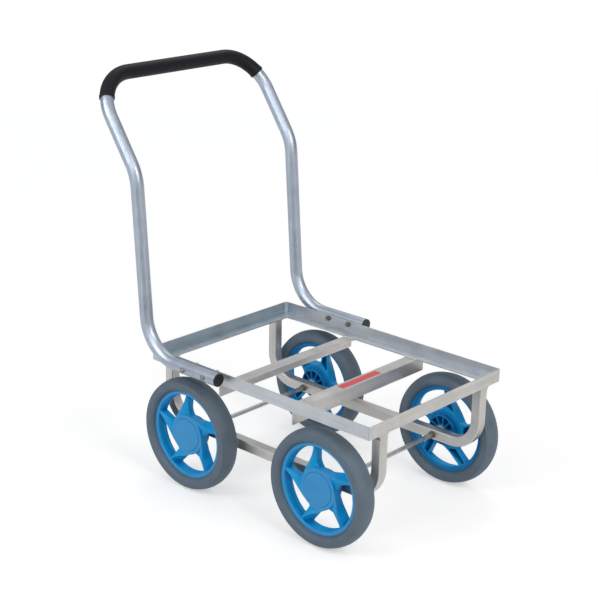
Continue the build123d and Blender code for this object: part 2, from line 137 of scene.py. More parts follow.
# %% Floor
floor_size = 60.0
near_glow = 0.46
far_glow = 0.78
glow_start = 1.0
glow_end = 7.0
floor_paint = 0.74
cloth_middle = (1.3, -1.9, 0)
cloth_edge = (0.9, 1.5)
cloth_depth = 0.92
bpy.ops.mesh.primitive_plane_add(size=floor_size)
floor = bpy.context.object
floor.name = "floor"
floor_finish = bpy.data.materials.new("pale_floor")
floor_finish.use_nodes = True
tree = floor_finish.node_tree
tree.nodes.clear()
direct, shiny = light_paths(tree)
seen = calculate(tree, "MAXIMUM", direct, shiny)
place = add_node(tree, "ShaderNodeTexCoord").outputs["Object"]
ends = {0: place, 1: cloth_middle}
off = add_node(tree, "ShaderNodeVectorMath", ends, operation="DISTANCE").outputs["Value"]
cloth = to_range(tree, off, cloth_depth, 0.0, *cloth_edge)
bare = calculate(tree, "SUBTRACT", 1.0, calculate(tree, "MULTIPLY", cloth, shiny))
paint = add_node(tree, "ShaderNodeBsdfDiffuse", {"Color": calculate(tree, "MULTIPLY", bare, floor_paint)})
away = add_node(tree, "ShaderNodeVectorMath", {0: place}, operation="LENGTH").outputs["Value"]
level = to_range(tree, away, near_glow, far_glow, glow_start, glow_end)
strength = calculate(tree, "MULTIPLY", calculate(tree, "MULTIPLY", seen, level), bare)
glow = add_node(tree, "ShaderNodeEmission", {"Strength": strength})
both = add_node(tree, "ShaderNodeAddShader", {0: paint.outputs[0], 1: glow.outputs[0]})
add_node(tree, "ShaderNodeOutputMaterial", {"Surface": both.outputs[0]})
floor.data.materials.append(floor_finish)
print("floor is", floor_size, "m wide")

# %% [markdown]
# ## Sky
# Bare metal shows what is round it. A picture of a studio could be wrapped round the scene, but a few
# nodes do the same and are easy to change. This sky is darker at the horizon than overhead, so upright
# faces stay grey and top faces shine. A wide soft box beside the camera shows in metal that leans back,
# as the handle does.

# %% Sky
sky_strength = 0.9
box_strength = 2.9
box_direction = (0.26, -0.86, 0.43)
box_edge = (0.72, 0.88)
horizon_tone = (0.3, 0.32, 0.35)
overhead_tone = (1.0, 1.0, 1.0)
sky_rise = (0.02, 0.75)
room_tone = (0.97, 0.985, 1.0, 1.0)
room_strength = 0.42
white = (1.0, 1.0, 1.0, 1.0)
white_strength = 0.98
world = bpy.data.worlds.new("studio")
bpy.context.scene.world = world
world.use_nodes = True
tree = world.node_tree
tree.nodes.clear()
direction = add_node(tree, "ShaderNodeTexCoord").outputs["Generated"]
height = add_node(tree, "ShaderNodeSeparateXYZ", {0: direction}).outputs["Z"]
sky = to_colour(tree, height, horizon_tone, overhead_tone, *sky_rise)
pale = add_node(tree, "ShaderNodeBackground", {"Color": white, "Strength": white_strength})
facing_box = {0: direction, 1: box_direction}
towards = add_node(tree, "ShaderNodeVectorMath", facing_box, operation="DOT_PRODUCT").outputs["Value"]
strength = to_range(tree, towards, sky_strength, box_strength, *box_edge)
mirrored = add_node(tree, "ShaderNodeBackground", {"Color": sky, "Strength": strength})
plain = add_node(tree, "ShaderNodeBackground", {"Color": room_tone, "Strength": room_strength})
direct, shiny = light_paths(tree)
lit = add_node(tree, "ShaderNodeMixShader", {0: shiny, 1: plain.outputs[0], 2: mirrored.outputs[0]})
final = add_node(tree, "ShaderNodeMixShader", {0: direct, 1: lit.outputs[0], 2: pale.outputs[0]})
add_node(tree, "ShaderNodeOutputWorld", {"Surface": final.outputs[0]})
print("sky and soft box:", sky_strength, box_strength)

# %% [markdown]
# ## Lamps
# Three lamps do the rest. Small ones would draw hard shadows, so each is a large square. A warm one stands
# ahead of the cart, a cool one on its right side, and a weak one behind keeps the far sides readable.

# %% Lamps
CART_MIDDLE = Vector((0, 0, 0.35))


def soft_lamp(name, place, size, watts, tint):
    """A square soft box, aimed at the middle of the cart."""
    bpy.ops.object.light_add(type="AREA", location=place)
    lamp = bpy.context.object
    lamp.name = name
    lamp.data.size = size
    lamp.data.energy = watts
    lamp.data.color = tint
    lamp.rotation_euler = (CART_MIDDLE - Vector(place)).to_track_quat("-Z", "Y").to_euler()


soft_lamp("warm_front", (2.9, -0.3, 2.2), 1.6, 46, (1.0, 0.955, 0.9))
soft_lamp("cool_side", (-0.9, -3.0, 2.3), 1.8, 40, (0.96, 0.975, 1.0))
soft_lamp("weak_rear", (-1.2, 2.0, 3.2), 1.6, 16, (1.0, 1.0, 1.0))
print("lamps:", len(bpy.data.lights))

# %% [markdown]
# ## Tools for finishes
# A real surface is never one flat colour: it has patches, fine grain and changes of shine. Images could
# show them, but they blur close up and have to be wrapped round each piece. Noise textures on the
# object's own coordinates need neither, so every finish is made of them.

# %% Finish tools
RELIEF_DEPTH = 0.3 * MM
MIX_SOCKETS = {"VECTOR": (4, 5, 1), "RGBA": (6, 7, 2)}


def new_finish(name):
    """A material with its shader and its Object coordinates."""
    finish = bpy.data.materials.new(name)
    finish.use_nodes = True
    tree = finish.node_tree
    place = add_node(tree, "ShaderNodeTexCoord").outputs["Object"]
    return finish, tree, tree.nodes["Principled BSDF"], place


def noise(tree, place, scale, detail=4.0, roughness=0.6):
    """A noise texture's grey value."""
    inputs = {"Vector": place, "Scale": scale, "Detail": detail, "Roughness": roughness}
    return add_node(tree, "ShaderNodeTexNoise", inputs).outputs["Fac"]


def emboss(tree, shader, height, strength):
    """Lets a grey value stand out of the surface as relief."""
    inputs = {"Height": height, "Strength": strength, "Distance": RELIEF_DEPTH}
    bump = add_node(tree, "ShaderNodeBump", inputs)
    tree.links.new(bump.outputs["Normal"], shader.inputs["Normal"])


def mix_by(tree, share, first, second, kind, blend="MIX"):
    """Mixes two vectors or colours by a share. A Mix node has its own pair of inputs for each kind."""
    one, two, result = MIX_SOCKETS[kind]
    inputs = {0: share, one: first, two: second}
    return add_node(tree, "ShaderNodeMix", inputs, data_type=kind, blend_type=blend).outputs[result]


print("finish tools ready")

# %% [markdown]
# ## Bare aluminium
# The rails, bars and tubes are drawn aluminium with no paint. Drawing leaves fine lines along each
# length, and handling leaves dull patches. A noise texture that is stretched along the length makes
# the lines, and a coarse one makes the patches. Where one piece runs in two directions, as the bent
# tubes do, the stretch changes over at a given height or place. The dull skin of old aluminium
# scatters some light, so the finish isn't wholly metallic.

# %% Aluminium finish
AXES = {"X": 0, "Y": 1, "Z": 2}
LINES_ALONG = 5.0
LINES_ACROSS = 240.0
LINE_SHARE = 0.55
FINE_SHARE = 0.4
FINE_SCALE = 4.0
PATCH_SCALE = 22.0
TONE_RANGE = (0.36, 0.62)
UNEVEN = 0.05
LINE_RELIEF = 0.15
METAL_SHARE = 0.86


def drawn_along(tree, place, axis):
    """Coordinates that are stretched along one axis."""
    scale = [LINES_ACROSS] * 3
    scale[AXES[axis]] = LINES_ALONG
    return add_node(tree, "ShaderNodeMapping", {"Vector": place, "Scale": scale}).outputs["Vector"]


def aluminium(name, tones, dullness, below, above=None, axis="Z", change=0.0):
    """Drawn along one axis below a change-over on the given axis, and along another above it."""
    finish, tree, shader, place = new_finish(name)
    grain = drawn_along(tree, place, below)
    if above:
        reach = add_node(tree, "ShaderNodeSeparateXYZ", {0: place}).outputs[axis]
        past = calculate(tree, "GREATER_THAN", reach, change)
        grain = mix_by(tree, past, grain, drawn_along(tree, place, above), "VECTOR")
    lines = noise(tree, grain, 1.0, detail=6.0, roughness=0.7)
    fine = noise(tree, grain, FINE_SCALE, detail=3.0)
    patches = noise(tree, place, PATCH_SCALE, detail=5.0, roughness=0.62)
    from_lines = calculate(tree, "MULTIPLY", lines, LINE_SHARE)
    from_patches = calculate(tree, "MULTIPLY", patches, 1 - LINE_SHARE)
    tone = calculate(tree, "ADD", from_lines, from_patches)
    tree.links.new(to_colour(tree, tone, *tones, *TONE_RANGE), shader.inputs["Base Color"])
    dull = to_range(tree, patches, dullness - UNEVEN, dullness + UNEVEN)
    streaky = to_range(tree, fine, -UNEVEN, UNEVEN)
    tree.links.new(calculate(tree, "ADD", dull, streaky), shader.inputs["Roughness"])
    from_fine = calculate(tree, "MULTIPLY", fine, FINE_SHARE)
    emboss(tree, shader, calculate(tree, "ADD", from_lines, from_fine), LINE_RELIEF)
    shader.inputs["Metallic"].default_value = METAL_SHARE
    return finish


print("lines across and along:", LINES_ACROSS, LINES_ALONG)

# %% [markdown]
# ## Four kinds of aluminium
# The rails are a cool grey, the bars and legs a little warmer, and the handle's tube is darker and
# smoother. One function with different tones keeps them alike in everything else. Where a piece bends,
# its lines turn too: at the rear rail, in the bends of the legs and in the lower bends of the handle.

# %% Rails, bars, legs and handle
rail_tones = ((0.4, 0.425, 0.455), (0.53, 0.555, 0.585))
warm_tones = ((0.42, 0.413, 0.4), (0.57, 0.56, 0.542))
handle_tones = ((0.295, 0.34, 0.405), (0.415, 0.465, 0.535))
rear_rail_front = -0.2195
leg_bend_middle = 0.168
handle_bend_middle = 0.33
rail_finish = aluminium("rail_aluminium", rail_tones, 0.44, "Y", "X", "X", rear_rail_front)
crosswise_finish = aluminium("bar_aluminium", warm_tones, 0.4, "Y")
leg_finish = aluminium("leg_aluminium", warm_tones, 0.42, "X", "Z", "Z", leg_bend_middle)
handle_finish = aluminium("tube_aluminium", handle_tones, 0.38, "X", "Z", "Z", handle_bend_middle)
metals = [rail_finish, crosswise_finish, leg_finish, handle_finish]
print("aluminium finishes:", [finish.name for finish in metals])

# %% [markdown]
# ## Plastics, rubber and steel
# The wheels are dyed through, so their blue is even, with a faint mould texture. The tyres are matt grey
# rubber that has picked up dust. Grip and plugs are black and slightly rough. The small steel pieces are
# zinc-plated, which mixes cool and yellowish grey. They all differ only in colours, grain and shine, so
# one function makes them.

# %% Plastic, rubber and steel finishes
def speckled(name, dark, light, patch, grit, shine, relief, metal=0.0, gloss=0.4):
    """An even colour with patches, fine grit and a range of roughness."""
    finish, tree, shader, place = new_finish(name)
    patches = noise(tree, place, patch, detail=5.0)
    grain = noise(tree, place, grit, detail=3.0)
    tree.links.new(to_colour(tree, patches, dark, light), shader.inputs["Base Color"])
    tree.links.new(to_range(tree, patches, *shine), shader.inputs["Roughness"])
    emboss(tree, shader, grain, relief)
    shader.inputs["Metallic"].default_value = metal
    shader.inputs["Specular IOR Level"].default_value = gloss
    return finish


blue = {"dark": (0.001, 0.345, 0.72), "light": (0.003, 0.405, 0.82), "gloss": 0.2}
wheel_finish = speckled("blue_moulding", **blue, patch=30, grit=1500, shine=(0.38, 0.5), relief=0.12)
disc_finish = speckled("blue_disc", (0.02, 0.285, 0.62), (0.034, 0.325, 0.7), 30, 1800, (0.34, 0.46), 0.1)
rubber = {"dark": (0.094, 0.132, 0.172), "light": (0.13, 0.175, 0.224)}
tyre_finish = speckled("grey_rubber", **rubber, patch=26, grit=1100, shine=(0.5, 0.68), relief=0.25)
foam = {"dark": (0.001, 0.001, 0.003), "light": (0.012, 0.011, 0.018), "gloss": 0.18}
grip_finish = speckled("black_sleeve", **foam, patch=420, grit=480, shine=(0.42, 0.62), relief=0.9)
black = {"dark": (0.003, 0.003, 0.004), "light": (0.008, 0.008, 0.009)}
plug_finish = speckled("black_plug", **black, patch=60, grit=1500, shine=(0.3, 0.45), relief=0.15)
nylon_finish = speckled("white_nylon", (0.55, 0.54, 0.5), (0.66, 0.65, 0.61), 60, 1500, (0.4, 0.55), 0.12)
spacer_finish = speckled("grey_spacer", (0.2, 0.205, 0.21), (0.27, 0.275, 0.28), 60, 1500, (0.4, 0.55), 0.12)
zinc_finish = speckled("zinc_steel", (0.16, 0.145, 0.12), (0.3, 0.28, 0.24), 160, 900, (0.3, 0.5), 0.15, 1.0)
axle_finish = speckled("axle_steel", (0.36, 0.37, 0.37), (0.5, 0.51, 0.51), 90, 900, (0.26, 0.42), 0.12, 1.0)
brown = {"dark": (0.15, 0.12, 0.09), "light": (0.26, 0.21, 0.155), "metal": 1.0}
collar_finish = speckled("collar_steel", **brown, patch=150, grit=900, shine=(0.36, 0.55), relief=0.2)
plastics = [wheel_finish, disc_finish, tyre_finish, grip_finish, plug_finish, nylon_finish, spacer_finish]
steels = [zinc_finish, axle_finish, collar_finish]
print("other finishes:", [finish.name for finish in plastics + steels])

# %% [markdown]
# ## Painted light and shade
# Light and shade are painted into the wheels' colour. Their raised outer faces are painted paler, as if lit,
# and their edges get a painted highlight, while hollows and the backs get painted shade. Such marks could be
# painted on by hand, but nodes find them by themselves: by place, by how closed in a spot is, or by how
# sharply the surface bends. Each is a tint that is mixed in. The rear rail gets a cooler grey, a painted
# bluish reflection, in the same way.

# %% Tints
def tint_by(finish, share, tint, blend="MIX"):
    """Mixes a tint into the colour of a finish, by a share from 0 to 1."""
    tree = finish.node_tree
    colour = tree.nodes["Principled BSDF"].inputs["Base Color"]
    before = colour.links[0].from_socket
    tree.links.new(mix_by(tree, share, before, (*tint, 1), "RGBA", blend), colour)


def tint_along(finish, tint, axis, start, end, blend="MIX"):
    """Changes a finish to a tint between two places on an axis. Left and right are alike."""
    tree = finish.node_tree
    place = add_node(tree, "ShaderNodeTexCoord").outputs["Object"]
    reach = add_node(tree, "ShaderNodeSeparateXYZ", {0: place}).outputs[axis]
    distance = calculate(tree, "ABSOLUTE", reach, 0.0) if axis == "Y" else reach
    tint_by(finish, to_range(tree, distance, 0.0, 1.0, start, end), tint, blend)


def paint_hollow_shade(finish, tint, reach, start, end):
    """Paints shade into a finish where the piece's own surface closes round it."""
    tree = finish.node_tree
    inputs = {"Distance": reach}
    nearby = add_node(tree, "ShaderNodeAmbientOcclusion", inputs, samples=12, only_local=True)
    tint_by(finish, to_range(tree, nearby.outputs["AO"], 0.0, 1.0, start, end), tint)


def paint_edge_highlight(finish, tint, start, end):
    """Paints a highlight into a finish along raised edges."""
    tree = finish.node_tree
    edge_highlight_share = add_node(tree, "ShaderNodeNewGeometry").outputs["Pointiness"]
    tint_by(finish, to_range(tree, edge_highlight_share, 0.0, 1.0, start, end), tint)


outer_faces_painted_light = (0.2192, 0.2214)
wheel_backs_painted_shade = (0.2022, 0.197)
hollow_shade_reach = 20 * MM
rear_rail_painted_reflection = (-0.19, -0.222)
# Painted light: the wheels' outer faces are painted a paler blue, as if lit.
tint_along(wheel_finish, (0.05, 0.34, 0.7), "Y", *outer_faces_painted_light)
# Painted shade: the backs of the wheels, towards the cart's middle, are painted a deeper blue.
tint_along(wheel_finish, (0.003, 0.2, 0.5), "Y", *wheel_backs_painted_shade)
# Painted shade: hollows and corners that the wheel's own surface closes round are painted a deeper blue.
paint_hollow_shade(wheel_finish, (0.002, 0.15, 0.4), hollow_shade_reach, start=0.8, end=0.35)
# Painted highlight: sharp raised edges of the wheels are painted a paler blue.
paint_edge_highlight(wheel_finish, (0.07, 0.43, 0.8), start=0.53, end=0.62)
# Painted reflection: the rear rail is painted a cooler, bluish grey, as if it mirrored bluish surroundings.
tint_along(rail_finish, (0.86, 0.955, 1.0), "X", *rear_rail_painted_reflection, "MULTIPLY")
print("worn finishes:", wheel_finish.name, rail_finish.name)

# %% [markdown]
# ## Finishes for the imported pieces
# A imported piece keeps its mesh, so only its material slot changes. The first word or two of each name
# say what it is, and the longest match wins.

# %% Assign the finishes
finish_for = {
    "rail_loop": rail_finish,
    "front_rail": crosswise_finish,
    "cross_bar": crosswise_finish,
    "side_frame": leg_finish,
    "handle_tube": handle_finish,
    "handle_grip": grip_finish,
    "handle_plug": plug_finish,
    "handle_spacers": spacer_finish,
    "handle_bolts": zinc_finish,
    "handle_washers": zinc_finish,
    "handle_nuts": zinc_finish,
    "wheel_nuts": zinc_finish,
    "wheel_washers": zinc_finish,
    "wheel_bushes": nylon_finish,
    "axle_collars": collar_finish,
    "axle_spacers": zinc_finish,
    "axle_front": axle_finish,
    "axle_rear": axle_finish,
    "wheel_front": wheel_finish,
    "wheel_rear": wheel_finish,
    "tyre": tyre_finish,
    "hub_cap": disc_finish,
}
for name, piece in nodes.items():
    start = max((key for key in finish_for if name.startswith(key)), key=len)
    piece.data.materials.clear()
    piece.data.materials.append(finish_for[start])
print("finished pieces:", len(nodes))

# %% [markdown]
# ## Tools for round pieces
# Tyres, rims, hubs and discs are all round. They could be put together from cylinders and rings, but a
# section that is spun keeps every step and curve in one list. By hand that is one vertex, extruded from
# point to point, and then spun about the axle. Wheel pieces are modelled about their own Z axis, which
# points out of the cart, with zero in the middle of the tyre.

# %% Outline and spin
MERGE = 0.01 * MM
ROUND_STEPS = 160


def choose(piece):
    """Selects one piece and makes it the one that the next tools work on."""
    bpy.ops.object.select_all(action="DESELECT")
    piece.select_set(True)
    bpy.context.view_layer.objects.active = piece


def draw_outline(name, points):
    """Draws a line from point to point, one extruded vertex after the other, and stays in edit mode."""
    bpy.ops.object.select_all(action="DESELECT")
    bpy.ops.mesh.primitive_plane_add(size=MM)
    piece = bpy.context.object
    piece.name = name
    bpy.ops.object.mode_set(mode="EDIT")
    bpy.ops.mesh.select_all(action="SELECT")
    bpy.ops.mesh.merge(type="CENTER")
    bpy.ops.transform.translate(value=points[0])
    for start, end in zip(points, points[1:]):
        step = [b - a for a, b in zip(start, end)]
        bpy.ops.mesh.extrude_vertices_move(TRANSFORM_OT_translate={"value": step})
    return piece


def tidy_mesh():
    """Merges doubles and turns every face outwards, then leaves edit mode."""
    bpy.ops.mesh.select_all(action="SELECT")
    bpy.ops.mesh.remove_doubles(threshold=MERGE)
    bpy.ops.mesh.normals_make_consistent(inside=False)
    bpy.ops.object.mode_set(mode="OBJECT")


def turned_piece(name, outline, steps=ROUND_STEPS):
    """Spins a closed outline of radius and height, in millimetres, about the Z axis."""
    points = [(radius * MM, 0, height * MM) for radius, height in outline]
    piece = draw_outline(name, points + points[:1])
    bpy.ops.mesh.select_all(action="SELECT")
    bpy.ops.mesh.spin(steps=steps, angle=math.tau, center=(0, 0, 0), axis=(0, 0, 1))
    tidy_mesh()
    return piece


print("turning tools ready")

# %% [markdown]
# ## Tyre
# The tyre is a smooth grey ring with full side walls, a rounded shoulder with a raised line round it,
# and a thin seam in the middle of the tread where the two halves of the mould met. A torus would be
# quicker, but its section is a plain circle. So one half of the section is drawn, with a helper for bowed
# lines, and mirrored in the list of points.

# %% Tyre
RIM_SEAT = 94.0
RIM_EDGE = 98.0
RIM_HALF = 13.0
SEAT_HALF = 9.0
BELLY = (110.0, 22.75)
LINE_INNER = (117.2, 21.7)
LINE_OUTER = (120.2, 18.9)
SHOULDER = (123.0, 12.6)
TREAD_EDGE = (124.75, 1.0)
SEAM = (125.0, 0.5)


def bowed(start, end, rise, count):
    """Points from start, without end, on an arc that stands out from the straight line by rise."""
    start = Vector(start)
    chord = Vector(end) - start
    out = Vector((-chord.y, chord.x)).normalized()
    radius = (chord.length_squared / 4 + rise * rise) / (2 * rise)
    half = math.asin(chord.length / 2 / radius)
    centre = start + chord / 2 + out * (rise - radius)
    along = chord.normalized()
    angles = [half * (2 * i / count - 1) for i in range(count)]
    return [tuple(centre + radius * (along * math.sin(a) + out * math.cos(a))) for a in angles]


def tyre_outline():
    """Half of the section from the seat to the seam, and the same again on the other side."""
    half = [(RIM_SEAT, SEAT_HALF), (RIM_EDGE, SEAT_HALF), (RIM_EDGE, RIM_HALF - 0.1)]
    half += bowed((RIM_EDGE + 0.4, RIM_HALF + 0.1), BELLY, rise=2.7, count=9)
    half += bowed(BELLY, LINE_INNER, rise=0.15, count=4)
    half += bowed(LINE_INNER, LINE_OUTER, rise=1.35, count=8)
    half += bowed(LINE_OUTER, SHOULDER, rise=0.35, count=6)
    half += bowed(SHOULDER, TREAD_EDGE, rise=0.6, count=6)
    half += [TREAD_EDGE, SEAM]
    return half + [(radius, -height) for radius, height in reversed(half)]


tyre_model = turned_piece("tyre_model", tyre_outline())
print("tyre faces:", len(tyre_model.data.polygons))

# %% [markdown]
# ## Wheel: rim and hub
# The wheel is one blue moulding. Its rim is a barrel with a lip on each edge that holds the tyre. Its
# hub is a shallow drum in front and a tube with a ring and ribs behind. Both are turned from outlines.
# They could be cut from one solid, but separate pieces are easier to change. They stay separate until
# the spokes are there, and then everything is melted into one.

# %% Rim and hub
RIM_INNER = 90.0
BORE = 8.0
TUBE = 14.0
RING_INNER = 31.0
RING_OUTER = 34.0
POCKET = 36.6
HUB = 42.0
TUBE_BACK = -26.85
RING_BACK = -22.85
WEB_BACK = -10.0
WEB_FRONT = -6.0
HUB_FRONT = 4.0
rim_outline = [(RIM_INNER, 1.5 - RIM_HALF), (RIM_INNER + 1.5, -RIM_HALF)]
rim_outline += [(RIM_EDGE - 0.8, -RIM_HALF), (RIM_EDGE, 0.8 - RIM_HALF)]
rim_outline += [(RIM_EDGE, -SEAT_HALF), (RIM_SEAT, -SEAT_HALF)]
rim_outline += [(RIM_SEAT, SEAT_HALF), (RIM_EDGE, SEAT_HALF)]
rim_outline += [(RIM_EDGE, RIM_HALF - 0.6), (RIM_EDGE - 0.6, RIM_HALF)]
rim_outline += [(RIM_INNER + 2.0, RIM_HALF), (RIM_INNER, RIM_HALF - 2.0)]
rim = turned_piece("rim", rim_outline)
hub_outline = [(BORE, TUBE_BACK), (TUBE, TUBE_BACK), (TUBE, WEB_BACK), (RING_INNER, WEB_BACK)]
hub_outline += [(RING_INNER, RING_BACK), (RING_OUTER, RING_BACK), (RING_OUTER, WEB_BACK), (HUB, WEB_BACK)]
hub_outline += [(HUB, HUB_FRONT), (POCKET, HUB_FRONT), (POCKET, WEB_FRONT), (BORE, WEB_FRONT)]
hub = turned_piece("hub", hub_outline)
print("rim and hub faces:", len(rim.data.polygons), len(hub.data.polygons))

# %% [markdown]
# ## Wheel: ribs behind the hub
# Ten thin ribs join the hub's tube to the ring round it. One is a cube, stretched to size in edit mode
# and moved out from the axle, and the others are copies that are turned about the axle.

# %% Ribs
RIBS = 10
RIB_THICKNESS = 3.0


def copy_turned(piece, count):
    """Copies of a piece at even steps about the Z axis, each with its own mesh."""
    copies = [piece]
    for i in range(1, count):
        choose(piece)
        bpy.ops.object.duplicate(linked=False)
        turned = bpy.context.object
        turned.rotation_euler.z = math.tau * i / count
        bpy.ops.object.transform_apply(location=True, rotation=True, scale=True)
        copies.append(turned)
    return copies


def join(pieces, name):
    """Joins pieces into one mesh."""
    bpy.ops.object.select_all(action="DESELECT")
    for piece in pieces:
        piece.select_set(True)
    bpy.context.view_layer.objects.active = pieces[0]
    bpy.ops.object.join()
    pieces[0].name = name
    return pieces[0]


rib_start = TUBE - 2.0
rib_end = (RING_INNER + RING_OUTER) / 2
bpy.ops.object.select_all(action="DESELECT")
bpy.ops.mesh.primitive_cube_add(size=MM)
rib = bpy.context.object
bpy.ops.object.mode_set(mode="EDIT")
bpy.ops.mesh.select_all(action="SELECT")
rib_size = (rib_end - rib_start, RIB_THICKNESS, WEB_BACK - RING_BACK + 1)
bpy.ops.transform.resize(value=rib_size, center_override=(0, 0, 0))
middle = ((rib_start + rib_end) / 2 * MM, 0, (WEB_BACK + RING_BACK + 1) / 2 * MM)
bpy.ops.transform.translate(value=middle)
bpy.ops.object.mode_set(mode="OBJECT")
ribs = copy_turned(rib, RIBS)
print("ribs:", len(ribs))

# %% [markdown]
# ## Wheel: windows between the spokes
# Five swept spokes run from the hub to the rim. It is easier to make what is not there: each window
# between two spokes is a disc, cut along the outer edge of one spoke and the inner edge of the next,
# with its corners rounded, and drawn out into a block. Five such blocks are taken out of a plate.

# %% Window cutter
SPOKES = 5
EDGE_ANGLE = 16.0
EDGE_OFFSET = 31.6
NEXT_ANGLE = 92.9
NEXT_POINT = (-7.0, 45.2, 0.0)
WINDOW_RADIUS = 87.0
HUB_CORNER = 32.5
RIM_CORNER = 4.5
CUT_DEPTH = 60.0
ON_LINE = 0.2 * MM
AT_RIM = (WINDOW_RADIUS - 0.5) * MM


def square_to(angle):
    """The direction square to a line at this angle, in degrees."""
    return Vector((-math.sin(math.radians(angle)), math.cos(math.radians(angle)), 0))


def pick_vertices(piece, test):
    """Selects the vertices that pass a test, in edit mode, and nothing else."""
    bpy.ops.mesh.select_all(action="DESELECT")
    bpy.ops.object.mode_set(mode="OBJECT")
    for vertex in piece.data.vertices:
        vertex.select = test(vertex.co)
    bpy.ops.object.mode_set(mode="EDIT")


def window_cutter():
    """One window as a tall block: a disc that is cut along two lines, with its corners rounded."""
    bpy.ops.object.select_all(action="DESELECT")
    bpy.ops.mesh.primitive_circle_add(vertices=128, radius=WINDOW_RADIUS * MM, fill_type="NGON")
    cutter = bpy.context.object
    edge = square_to(EDGE_ANGLE)
    following = square_to(NEXT_ANGLE)
    edge_place = edge * EDGE_OFFSET * MM
    following_place = Vector(NEXT_POINT) * MM
    bpy.ops.object.mode_set(mode="EDIT")
    bpy.ops.mesh.select_mode(type="VERT")
    bpy.ops.mesh.select_all(action="SELECT")
    bpy.ops.mesh.bisect(plane_co=edge_place, plane_no=edge, clear_inner=True)
    bpy.ops.mesh.select_all(action="SELECT")
    bpy.ops.mesh.bisect(plane_co=following_place, plane_no=following, clear_outer=True)

    def on_lines(place):
        """On how many of the two cutting lines a vertex lies."""
        distances = [edge.dot(place - edge_place), following.dot(place - following_place)]
        return sum(abs(distance) < ON_LINE for distance in distances)

    pick_vertices(cutter, lambda v: on_lines(v) == 2)
    bpy.ops.mesh.bevel(offset=HUB_CORNER * MM, segments=12, affect="VERTICES")
    pick_vertices(cutter, lambda v: on_lines(v) == 1 and v.length > AT_RIM)
    bpy.ops.mesh.bevel(offset=RIM_CORNER * MM, segments=5, affect="VERTICES")
    bpy.ops.mesh.select_all(action="SELECT")
    bpy.ops.transform.translate(value=(0, 0, -CUT_DEPTH / 2 * MM))
    bpy.ops.mesh.extrude_region_move(TRANSFORM_OT_translate={"value": (0, 0, CUT_DEPTH * MM)})
    tidy_mesh()
    return cutter


print("window cutter ready")

# %% [markdown]
# ## Wheel: cutting
# Boolean takes one mesh out of another. Its exact solver is slower than the fast one, but it holds where
# faces meet at a slant, as they do here. The cutters are joined first, so that one modifier does it all.

# %% Cutting tool
def apply_modifier(piece, kind, **settings):
    """Adds a modifier, sets it up and applies it."""
    choose(piece)
    modifier = piece.modifiers.new(kind.title(), kind)
    for setting, value in settings.items():
        setattr(modifier, setting, value)
    bpy.ops.object.modifier_apply(modifier=modifier.name)


def cut(piece, cutters, name):
    """Takes cutters out of a piece."""
    tool = join(cutters, name)
    apply_modifier(piece, "BOOLEAN", operation="DIFFERENCE", solver="EXACT", object=tool)
    bpy.data.objects.remove(tool)


print("cutting tool ready")

# %% [markdown]
# ## Wheel: plate and drum
# The spokes stand on a thin plate, which rises towards the hub, so its windows have tall round corners
# there. A drum round the hub's pocket carries the disc. Both are turned, and then the windows are cut.

# %% Plate and drum
PLATE_BACK = -8.0
PLATE_FRONT = -4.5
PLATE_EDGE = 91.5
RISE_FOOT = 64.0
RISE_TOP = (52.0, 7.0)
DRUM_FOOT = 42.5
DRUM_EDGE = (45.0, 11.8)
DRUM_TOP = (43.8, 13.2)
plate_outline = [(POCKET, PLATE_BACK), (PLATE_EDGE, PLATE_BACK), (PLATE_EDGE, PLATE_FRONT)]
plate_outline += [(RISE_FOOT, PLATE_FRONT), RISE_TOP, (POCKET, RISE_TOP[1])]
plate = turned_piece("plate", plate_outline)
cut(plate, copy_turned(window_cutter(), SPOKES), "windows")
drum_outline = [(POCKET, PLATE_BACK), (DRUM_FOOT, PLATE_BACK), DRUM_EDGE, DRUM_TOP, (POCKET, DRUM_TOP[1])]
drum = turned_piece("drum", drum_outline)
print("plate faces:", len(plate.data.polygons))

# %% [markdown]
# ## Wheel: spoke blades
# Each spoke twists like the blade of a fan. Its raised line leaves the hub's edge on one side and
# reaches the rim on the other, so one flank stands upright at the hub and lies down towards the rim.
# A section of five corners is drawn beside the hub, filled, and extruded from station to station, and
# at each station its corners are moved to their places. Subdividing makes the twist even. The same
# tool makes a smaller blade that hollows the first one out from behind.

# %% Blade tool
NEAR = 0.05 * MM
STRIP_CUTS = 3


def blade(name, sections):
    """A solid through sections, each a list of corners in millimetres."""
    first = [tuple(Vector(corner) * MM) for corner in sections[0]]
    piece = draw_outline(name, first + first[:1])
    bpy.ops.mesh.select_all(action="SELECT")
    bpy.ops.mesh.remove_doubles(threshold=MERGE)
    bpy.ops.mesh.edge_face_add()
    for before, after in zip(sections, sections[1:]):
        step = (Vector(after[0]) - Vector(before[0])) * MM
        bpy.ops.mesh.extrude_region_move(TRANSFORM_OT_translate={"value": step})
        for old, new in zip(before[1:], after[1:]):
            moved = Vector(old) * MM + step
            pick_vertices(piece, lambda v: (v - moved).length < NEAR)
            bpy.ops.transform.translate(value=Vector(new) * MM - moved)
        ends = [Vector(corner) * MM for corner in after]
        pick_vertices(piece, lambda v: min((v - corner).length for corner in ends) < NEAR)
    bpy.ops.mesh.select_all(action="SELECT")
    bpy.ops.mesh.subdivide(number_cuts=STRIP_CUTS)
    tidy_mesh()
    return piece


print("blade tool ready")

# %% [markdown]
# ## Wheel: spokes
# Three lines describe a blade: its outer edge, its raised line and its inner edge. The hub's pocket and
# the hollow behind are cut out of the first blade, and then it is copied to all five places, so all
# spokes are the same.

# %% Spokes
EDGE_FRONT = -5.0
HOLLOW_BACK = -30.0


def stations(outer, ridge, inner, back, edge):
    """Sections of a blade from three lines: its outer edge, its raised line and its inner edge."""
    rows = zip(outer, ridge, inner)
    return [[(*o, back), (*o, edge), r, i, (*i[:2], back)] for o, r, i in rows]


